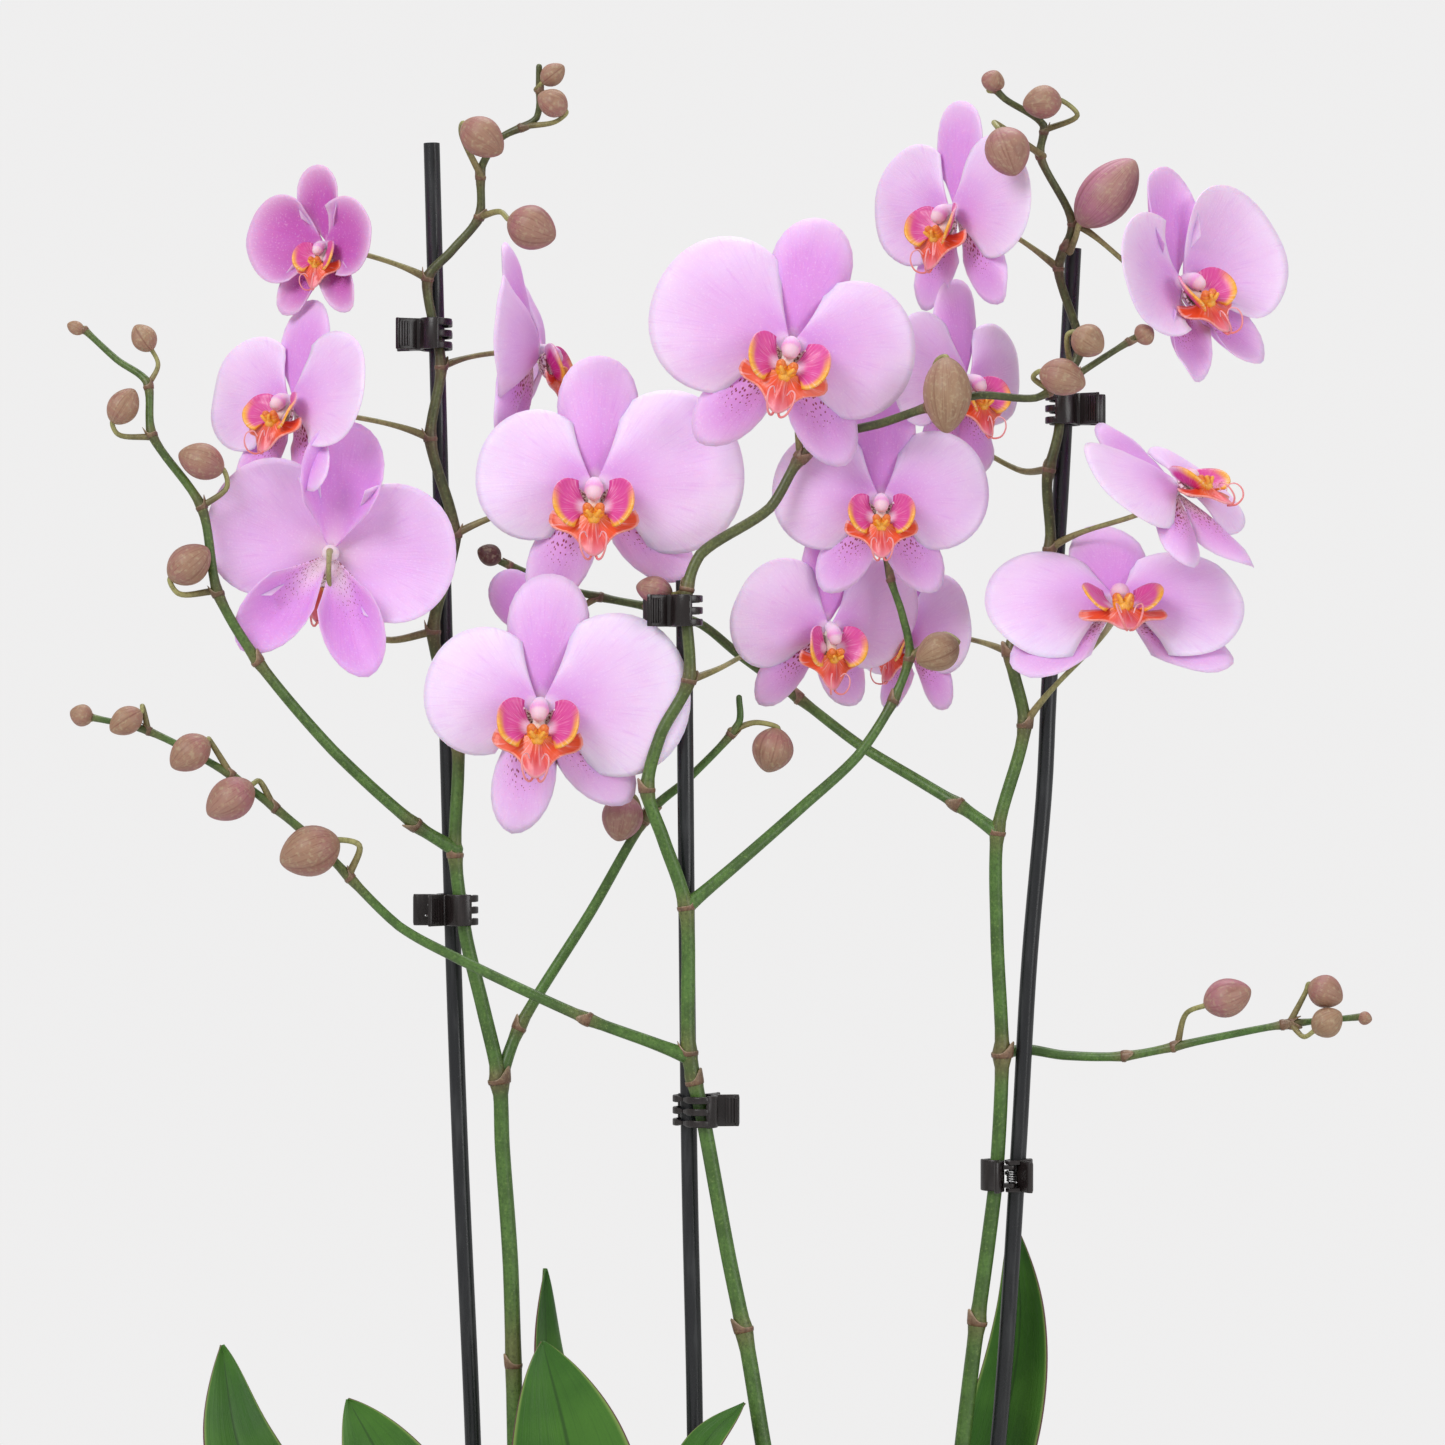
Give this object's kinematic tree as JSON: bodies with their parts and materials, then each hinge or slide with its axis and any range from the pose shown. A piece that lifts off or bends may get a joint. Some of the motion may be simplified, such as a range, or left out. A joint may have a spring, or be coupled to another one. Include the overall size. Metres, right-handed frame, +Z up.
{
  "type": "potted moth orchid",
  "caption": "Moth orchid plants with branching flower spikes held to stakes by spring clips, growing in bark in a round glazed planter.",
  "frame": {"origin": "centre of the planter's underside, on the surface it stands on", "axes": "+Z up along the planter's axis; -Y is the plants' front; +X to the right seen from the front"},
  "size_m": [0.4618, 0.2941, 0.7871],
  "materials": {
    "glaze": "glossy off-white glaze",
    "bark": "rough broken bark",
    "crown": "matt green leaf bases",
    "leaf": "waxy green",
    "stem": "satin mottled green and brown",
    "petal": "soft pale lilac pink, deep magenta and orange at the lip",
    "stake": "near-black ribbed plastic",
    "clip": "dark brown-black plastic",
    "spring": "bright steel wire"
  },
  "bodies": {
    "pot_and_plants": {"planter": "glaze", "potting_bark": "bark", "left_crown": "crown", "left_spike": "stem", "left_stake": "stake", "left_leaf_1": "leaf", "left_leaf_2": "leaf", "left_leaf_3": "leaf", "left_leaf_4": "leaf", "left_leaf_5": "leaf", "centre_crown": "crown", "centre_spike": "stem", "centre_stake": "stake", "centre_leaf_1": "leaf", "centre_leaf_2": "leaf", "centre_leaf_3": "leaf", "centre_leaf_4": "leaf", "right_crown": "crown", "right_spike": "stem", "right_stake": "stake", "right_leaf_1": "leaf", "right_leaf_2": "leaf", "right_leaf_3": "leaf", "flower_01": "petal", "flower_02": "petal", "flower_03": "petal", "flower_04": "petal", "flower_05": "petal", "flower_06": "petal", "flower_07": "petal", "flower_08": "petal", "flower_09": "petal", "flower_10": "petal", "flower_11": "petal", "flower_12": "petal", "flower_13": "petal", "flower_14": "petal", "flower_15": "petal", "flower_16": "petal", "clip_1_fixed_jaw": "clip", "clip_1_spring": "spring", "clip_2_fixed_jaw": "clip", "clip_2_spring": "spring", "clip_3_fixed_jaw": "clip", "clip_3_spring": "spring", "clip_4_fixed_jaw": "clip", "clip_4_spring": "spring", "clip_5_fixed_jaw": "clip", "clip_5_spring": "spring", "clip_6_fixed_jaw": "clip", "clip_6_spring": "spring"},
    "clip_1_jaw": {"clip_1_moving_jaw": "clip"},
    "clip_2_jaw": {"clip_2_moving_jaw": "clip"},
    "clip_3_jaw": {"clip_3_moving_jaw": "clip"},
    "clip_4_jaw": {"clip_4_moving_jaw": "clip"},
    "clip_5_jaw": {"clip_5_moving_jaw": "clip"},
    "clip_6_jaw": {"clip_6_moving_jaw": "clip"}
  },
  "joints": [
    {"name": "clip_1_hinge", "type": "hinge", "parent": "pot_and_plants", "child": "clip_1_jaw", "pos_m": [-0.112, 0.01774, 0.691], "axis": [0, 0, -1], "range_deg": [0, 30], "stiffness_Nm_per_rad": 0.002, "deforming": ["clip_1_spring"]},
    {"name": "clip_2_hinge", "type": "hinge", "parent": "pot_and_plants", "child": "clip_2_jaw", "pos_m": [-0.10351, 0.01429, 0.482], "axis": [0, 0, -1], "range_deg": [0, 30], "stiffness_Nm_per_rad": 0.002, "deforming": ["clip_2_spring"]},
    {"name": "clip_3_hinge", "type": "hinge", "parent": "pot_and_plants", "child": "clip_3_jaw", "pos_m": [-0.02123, -0.01028, 0.59], "axis": [0, 0, -1], "range_deg": [0, 30], "stiffness_Nm_per_rad": 0.002, "deforming": ["clip_3_spring"]},
    {"name": "clip_4_hinge", "type": "hinge", "parent": "pot_and_plants", "child": "clip_4_jaw", "pos_m": [-0.003, -0.00501, 0.411], "axis": [0, 0, 1], "range_deg": [0, 30], "stiffness_Nm_per_rad": 0.002, "deforming": ["clip_4_spring"]},
    {"name": "clip_5_hinge", "type": "hinge", "parent": "pot_and_plants", "child": "clip_5_jaw", "pos_m": [0.13176, 0.0193, 0.664], "axis": [0, 0, 1], "range_deg": [0, 30], "stiffness_Nm_per_rad": 0.002, "deforming": ["clip_5_spring"]},
    {"name": "clip_6_hinge", "type": "hinge", "parent": "pot_and_plants", "child": "clip_6_jaw", "pos_m": [0.10481, 0.01857, 0.385], "axis": [0, 0, 1], "range_deg": [0, 30], "stiffness_Nm_per_rad": 0.002, "deforming": ["clip_6_spring"]}
  ]
}
